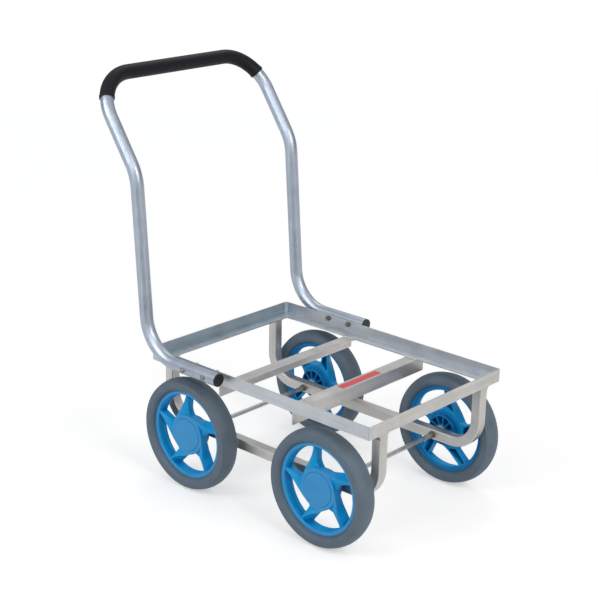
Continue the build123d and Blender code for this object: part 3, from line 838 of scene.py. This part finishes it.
blade_outer = [(2.0, 42.0), (20.0, 40.8), (35.0, 42.9), (50.0, 47.3), (62.0, 50.8), (74.0, 54.2)]
blade_ridge = [(2.0, 44.2, 13.2), (20.0, 43.4, 13.4), (35.0, 41.3, 13.4), (50.0, 38.6, 13.2)]
blade_ridge += [(64.0, 37.4, 13.0), (82.3, 38.8, 12.6)]
blade_inner = [(28.0, 16.0, 8.0), (41.6, 20.9, 7.0), (48.0, 23.3, 7.0), (57.0, 26.6, 7.0)]
blade_inner += [(68.0, 30.7, 7.5), (83.6, 36.4, 8.0)]
hollow_outer = [(27.0, 37.6), (50.5, 43.4), (70.5, 48.8)]
hollow_ridge = [(30.0, 37.0, 8.4), (51.0, 36.4, 8.6), (76.6, 39.6, 8.2)]
hollow_inner = [(44.5, 25.4, 3.0), (56.0, 29.8, 3.0), (77.8, 37.6, 3.0)]
hollow = blade("hollow", stations(hollow_outer, hollow_ridge, hollow_inner, HOLLOW_BACK, PLATE_BACK - 1))
spoke = blade("spoke", stations(blade_outer, blade_ridge, blade_inner, PLATE_BACK, EDGE_FRONT))
pocket_outline = [(0, WEB_FRONT), (POCKET, WEB_FRONT), (POCKET, CUT_DEPTH), (0, CUT_DEPTH)]
cut(spoke, [turned_piece("pocket", pocket_outline)], "pocket_block")
choose(hollow)
bpy.ops.object.duplicate(linked=False)
cut(spoke, [bpy.context.object], "hollow_block")
cut(plate, copy_turned(hollow, SPOKES), "hollow_blocks")
spokes = copy_turned(spoke, SPOKES)
print("spokes:", len(spokes), "hollowed plate faces:", len(plate.data.polygons))

# %% [markdown]
# ## Wheel: one moulding
# A moulding has no sharp edges and no seams between rim, spokes and hub. The Remesh tool rebuilds the
# joined pieces as one skin of small squares, and a light smoothing rounds every edge, inner and outer,
# by about a millimetre. The welds are melted in the same way later.

# %% Melt the wheel together
WHEEL_VOXEL = 1.15 * MM


def melt(piece, voxel, rounds):
    """Rebuilds a mesh as one closed skin and smooths it."""
    choose(piece)
    piece.data.remesh_voxel_size = voxel
    bpy.ops.object.voxel_remesh()
    apply_modifier(piece, "SMOOTH", factor=0.5, iterations=rounds)
    bpy.ops.object.shade_smooth()


wheel_model = join([plate, drum, rim, hub, *ribs, *spokes], "wheel_model")
melt(wheel_model, WHEEL_VOXEL, rounds=4)
print("wheel faces:", len(wheel_model.data.polygons))

# %% [markdown]
# ## Hub disc
# A flat disc closes the front of each hub. Its edge is rounded, and a narrow gap is left round it, so a
# fine dark line shows. It is turned like the tyre, with a skirt behind that holds it in the hub.

# %% Hub disc
DISC = 36.3
DISC_TOP = 14.0
DISC_BACK = 11.5
DISC_ROUND = 1.0
DISC_MIDDLE = 20.0
DISC_STEPS = 120
SKIRT_INNER = DISC - 2.4
SKIRT_BACK = 6.0
disc_outline = [(0.0, DISC_TOP), (DISC_MIDDLE, DISC_TOP)]
disc_outline += bowed((DISC - DISC_ROUND, DISC_TOP), (DISC, DISC_TOP - DISC_ROUND), rise=0.29, count=6)
disc_outline += [(DISC, DISC_TOP - DISC_ROUND), (DISC, SKIRT_BACK), (SKIRT_INNER, SKIRT_BACK)]
disc_outline += [(SKIRT_INNER, DISC_BACK), (0.0, DISC_BACK)]
disc_model = turned_piece("disc_model", disc_outline, DISC_STEPS)
print("disc faces:", len(disc_model.data.polygons))

# %% [markdown]
# ## Four wheels on their axles
# Tyre, wheel and disc are copied to each corner. The two left wheels face the other way, and every
# wheel stands at its own angle, as wheels do after rolling. The place goes into the mesh, so every
# object stays at the origin and its finish stays with it.

# %% Place the wheels
WHEEL_TURN = {"front_right": 0.0, "rear_right": -7.0, "front_left": -12.0, "rear_left": 3.0}
SMOOTH_ANGLE = math.radians(32)


def wheel_place(corner):
    """The matrix from a wheel's own axes to its place on the cart."""
    low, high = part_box(f"tyre_{corner}")
    facing = Matrix.Rotation(math.radians(90), 4, "X")
    if corner.endswith("left"):
        facing = Matrix.Rotation(math.pi, 4, "Z") @ facing
    turn = Matrix.Rotation(math.radians(WHEEL_TURN[corner]), 4, "Z")
    return Matrix.Translation((low + high) / 2) @ facing @ turn


def place_copy(model, name, place):
    """A copy with its own mesh, moved into place and applied."""
    choose(model)
    bpy.ops.object.duplicate(linked=False)
    piece = bpy.context.object
    piece.name = name
    piece.matrix_world = place
    bpy.ops.object.transform_apply(location=True, rotation=True, scale=True)
    return piece


def finish_piece(piece, finish, body):
    """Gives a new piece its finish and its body."""
    piece.data.materials.clear()
    piece.data.materials.append(finish)
    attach(piece, body)


round_models = [
    (tyre_model, "tyre_ring", "tyre", tyre_finish, "tyre_rubber"),
    (wheel_model, "wheel_moulding", "wheel", wheel_finish, "wheel_plastic"),
    (disc_model, "hub_disc", "hub_cap", disc_finish, "cap_plastic"),
]
for model in (tyre_model, disc_model):
    choose(model)
    bpy.ops.object.shade_smooth_by_angle(angle=SMOOTH_ANGLE)
for corner in WHEEL_TURN:
    for model, name, node, finish, slot in round_models:
        piece = place_copy(model, f"{name}_{corner}", wheel_place(corner))
        finish_piece(piece, finish, f"{corner}_wheel")
        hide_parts(f"{node}_{corner}")
for model, *_ in round_models:
    bpy.data.objects.remove(model)
print("wheels placed:", len(WHEEL_TURN))

# %% [markdown]
# ## Grip: sleeve
# A thin black foam sleeve covers the handle's bar and most of both bends. A curve with a round bevel
# would give such a tube too, but a mesh can be shaped further. Half of it is drawn from the middle of
# the bar: a ring of edges, extruded along the bar and spun round the bend. Mirror makes the other half,
# and Solidify gives the wall.

# %% Grip sleeve
GRIP_RADIUS = 16.1 * MM
GRIP_WALL = 1.6 * MM
BAR_STRAIGHT = 142.8 * MM
BAR_PARTS = 12
BEND_RADIUS = 94.0 * MM
BEND_ANGLE = math.radians(63)
bpy.ops.object.select_all(action="DESELECT")
bpy.ops.mesh.primitive_circle_add(vertices=48, radius=GRIP_RADIUS, rotation=(0, math.radians(90), 0))
grip = bpy.context.object
grip.name = "grip_sleeve"
bpy.ops.object.transform_apply(location=True, rotation=True, scale=True)
bpy.ops.object.mode_set(mode="EDIT")
bpy.ops.mesh.select_all(action="SELECT")
for _ in range(BAR_PARTS):
    bpy.ops.mesh.extrude_region_move(TRANSFORM_OT_translate={"value": (BAR_STRAIGHT / BAR_PARTS, 0, 0)})
bpy.ops.mesh.spin(steps=40, angle=-BEND_ANGLE, center=(BAR_STRAIGHT, BEND_RADIUS, 0), axis=(0, 0, 1))
tidy_mesh()
apply_modifier(grip, "MIRROR")
bpy.ops.object.mode_set(mode="EDIT")
tidy_mesh()
first_face = grip.data.polygons[0]
if first_face.normal.dot((0, first_face.center.y, first_face.center.z)) < 0:
    bpy.ops.object.mode_set(mode="EDIT")
    bpy.ops.mesh.flip_normals()
    bpy.ops.object.mode_set(mode="OBJECT")
apply_modifier(grip, "SOLIDIFY", thickness=GRIP_WALL, offset=-1.0)
print("sleeve faces:", len(grip.data.polygons))

# %% [markdown]
# ## Grip: mouths and place
# Foam that is pushed on swells a little at its two mouths. There the outside of the sleeve is selected by
# its angle round the bend, and fattened. Then the sleeve is laid on the bar, leaning back with the arms.

# %% Grip mouths and place
MOUTH_START = math.radians(59.2)
MOUTH_LIP = 0.65 * MM
ARM_LEAN = math.radians(34.54)
BAR_MIDDLE = (-0.3723, 0, 0.866)


def on_mouth(place):
    """Whether a vertex is on the outside of the sleeve, next to a mouth."""
    along = abs(place.x) - BAR_STRAIGHT
    across = BEND_RADIUS - place.y
    off_line = math.hypot(math.hypot(along, across) - BEND_RADIUS, place.z)
    return math.atan2(along, across) > MOUTH_START and off_line > GRIP_RADIUS - GRIP_WALL / 2


bpy.ops.object.mode_set(mode="EDIT")
pick_vertices(grip, on_mouth)
bpy.ops.transform.shrink_fatten(value=MOUTH_LIP)
bpy.ops.object.mode_set(mode="OBJECT")
arm_down = Vector((math.sin(ARM_LEAN), 0, -math.cos(ARM_LEAN)))
along_bar = Vector((0, 1, 0))
turn = Matrix((along_bar, arm_down, along_bar.cross(arm_down))).transposed().to_4x4()
grip.matrix_world = Matrix.Translation(BAR_MIDDLE) @ turn
bpy.ops.object.transform_apply(location=True, rotation=True, scale=True)
bpy.ops.object.shade_smooth_by_angle(angle=SMOOTH_ANGLE)
finish_piece(grip, grip_finish, "cart")
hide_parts("handle_grip")
print("grip reaches", [round(side, 4) for side in grip.dimensions])

# %% [markdown]
# ## Weld beads
# The legs are welded to the end rails from below, and the cross bars to the side rails from above. A
# bead is a row of drops that ran into each other. A plain rod would be too even. So one drop is a flattened
# sphere, Array makes the row, Remesh melts the drops together, and smoothing leaves a faint ripple.

# %% Bead tool
DROP = 2.3 * MM
DROP_STEP = 2.2 * MM
DROP_SHAPE = (0.85, 1.0, 1.0)
BEAD_VOXEL = 0.45 * MM


def bead(length):
    """A straight bead along X, with its middle at the origin."""
    count = round(length / DROP_STEP)
    bpy.ops.object.select_all(action="DESELECT")
    bpy.ops.mesh.primitive_uv_sphere_add(segments=16, ring_count=10, radius=DROP)
    drops = bpy.context.object
    bpy.ops.object.mode_set(mode="EDIT")
    bpy.ops.mesh.select_all(action="SELECT")
    bpy.ops.transform.resize(value=DROP_SHAPE, center_override=(0, 0, 0))
    bpy.ops.transform.translate(value=((1 - count) * DROP_STEP / 2, 0, 0))
    bpy.ops.object.mode_set(mode="OBJECT")
    steps = {"use_relative_offset": False, "use_constant_offset": True}
    apply_modifier(drops, "ARRAY", count=count, constant_offset_displace=(DROP_STEP, 0, 0), **steps)
    melt(drops, BEAD_VOXEL, rounds=2)
    return drops


print("bead tool ready")

# %% [markdown]
# ## Fillets at the front legs
# On the outer side of the front legs the weld is built up into a hollow fillet that flares out under the
# rail. A bead can't be stretched that far, so the fillet's side view is drawn, filled and extruded across
# the leg, and melted like a bead.

# %% Fillet
LEG_LOW, LEG_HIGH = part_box("side_frame_left")
LEG_WIDTH = LEG_HIGH.y - LEG_LOW.y
FLARE_VOXEL = 0.6 * MM
FLARE_OUT = 11.0
FLARE_DOWN = 22.0
FLARE_HOLLOW = 4.4
flare_view = [(-1.0, 0.0)] + bowed((FLARE_OUT, 0.0), (0.0, -FLARE_DOWN), rise=-FLARE_HOLLOW, count=8)
flare_view += [(0.0, -FLARE_DOWN), (-1.0, -FLARE_DOWN)]
flare_points = [(-LEG_WIDTH / 2 + MM, y * MM, z * MM) for y, z in flare_view]
flare = draw_outline("flare", flare_points + flare_points[:1])
bpy.ops.mesh.select_all(action="SELECT")
bpy.ops.mesh.remove_doubles(threshold=MERGE)
bpy.ops.mesh.edge_face_add()
bpy.ops.mesh.extrude_region_move(TRANSFORM_OT_translate={"value": (LEG_WIDTH - 2 * MM, 0, 0)})
tidy_mesh()
melt(flare, FLARE_VOXEL, rounds=3)
print("fillet faces:", len(flare.data.polygons))

# %% [markdown]
# ## Welds at the legs
# Each leg's square end stands under an end rail, and a weld runs round it. One bead is as long as one side
# of the leg, so four copies, each turned by a quarter, go round, and a fillet takes the place of one.

# %% Leg welds
LEG_TOP = LEG_HIGH.z
LEG_MIDDLE = (LEG_LOW.y + LEG_HIGH.y) / 2
SIDES = {"right": -1, "left": 1}
BEAD_SINK = 0.7 * MM
dull = {"dark": (0.34, 0.34, 0.335), "light": (0.52, 0.515, 0.505), "metal": 1.0}
weld_finish = speckled("weld_aluminium", **dull, patch=240, grit=900, shine=(0.34, 0.5), relief=0.2)
leg_bead = bead(LEG_WIDTH)
leg_x = {"front": LEG_HIGH.x - LEG_WIDTH / 2, "rear": LEG_LOW.x + LEG_WIDTH / 2}
leg_welds = []
for end, x in leg_x.items():
    for side_name, side in SIDES.items():
        runs = []
        for quarter in range(4):
            outside = quarter == (0 if side > 0 else 2)
            flared = outside and end == "front"
            sink = 0 if flared else BEAD_SINK
            spot = Matrix.Translation((x, side * LEG_MIDDLE, LEG_TOP - sink))
            round_leg = Matrix.Rotation(math.pi / 2 * quarter, 4, "Z")
            outwards = Matrix.Translation((0, LEG_WIDTH / 2 + sink, 0))
            runs.append(place_copy(flare if flared else leg_bead, "run", spot @ round_leg @ outwards))
        weld = join(runs, f"leg_weld_{end}_{side_name}")
        finish_piece(weld, weld_finish, "cart")
        leg_welds.append(weld.name)
for model in (leg_bead, flare):
    bpy.data.objects.remove(model)
print("leg welds:", leg_welds, "leg tops at", round(LEG_TOP, 4))

# %% [markdown]
# ## Welds at the cross bars
# Each cross bar passes under the side rails' flanges, and a bead lies in the corner between the edge of
# the flange and the top of the bar. The bead tool makes it as long as the bar is wide.

# %% Bar welds
FLANGE_EDGE = 0.187
BEAD_LIFT = 0.9 * MM
bar_welds = []
for end in ("front", "rear"):
    low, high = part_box(f"cross_bar_{end}")
    bar_bead = bead(high.x - low.x)
    for side_name, side in SIDES.items():
        spot = ((low.x + high.x) / 2, side * (FLANGE_EDGE - BEAD_LIFT), high.z + BEAD_LIFT)
        weld = place_copy(bar_bead, f"bar_weld_{end}_{side_name}", Matrix.Translation(spot))
        finish_piece(weld, weld_finish, "cart")
        bar_welds.append(weld.name)
    bpy.data.objects.remove(bar_bead)
print("bar welds:", bar_welds)

# %% [markdown]
# ## Label
# A plain red strip sticks to the top of the front cross bar. It could be painted on by the bar's finish,
# but a strip has an edge that catches light. So it is a flat plane, stretched and rounded at its corners,
# with a little thickness.

# %% Blank label
LABEL_LENGTH = 0.124
LABEL_WIDTH = 0.018
LABEL_PLACE = (0.1707, 0.0115)
LABEL_CORNER = 2 * MM
LABEL_THICKNESS = 0.25 * MM
bar_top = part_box("cross_bar_front")[1].z
red = {"dark": (0.56, 0.06, 0.07), "light": (0.72, 0.095, 0.11)}
label_finish = speckled("red_strip", **red, patch=120, grit=1500, shine=(0.4, 0.6), relief=0.1)
bpy.ops.object.select_all(action="DESELECT")
bpy.ops.mesh.primitive_plane_add(size=1)
label = bpy.context.object
label.name = "blank_label"
bpy.ops.object.mode_set(mode="EDIT")
bpy.ops.mesh.select_all(action="SELECT")
bpy.ops.transform.resize(value=(LABEL_WIDTH, LABEL_LENGTH, 1), center_override=(0, 0, 0))
bpy.ops.mesh.bevel(offset=LABEL_CORNER, segments=4, affect="VERTICES")
bpy.ops.mesh.select_all(action="SELECT")
bpy.ops.transform.translate(value=(*LABEL_PLACE, bar_top))
bpy.ops.mesh.extrude_region_move(TRANSFORM_OT_translate={"value": (0, 0, LABEL_THICKNESS)})
tidy_mesh()
label.data.materials.append(label_finish)
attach(label, "cart")
print("label on the bar at", round(bar_top, 4))
